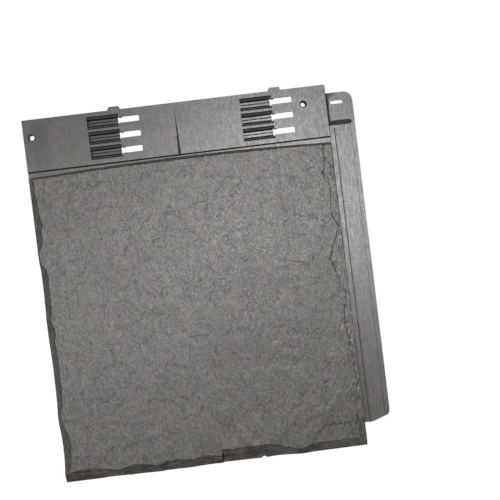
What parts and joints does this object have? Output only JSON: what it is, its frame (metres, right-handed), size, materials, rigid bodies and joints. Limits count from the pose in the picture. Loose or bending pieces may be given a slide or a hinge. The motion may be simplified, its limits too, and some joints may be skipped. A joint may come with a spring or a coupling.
{
  "type": "plastic interlocking roof tile",
  "caption": "Moulded roof tile with a riven slate-look face and chipped edges, a flat nailing head and a side channel for the next tile.",
  "frame": {"origin": "centre of the tile's box in plan, on the plane that its underside rests on", "axes": "+X across the tile from the plain left edge to the side channel, +Y up the roof from the tail to the nailing head, +Z out of the weather face"},
  "size_m": [0.3362, 0.3734, 0.0194],
  "materials": {
    "roof_tile": "satin dark slate grey, filled plastic"
  },
  "bodies": {
    "root": {"roof_tile": "roof_tile"}
  },
  "joints": []
}
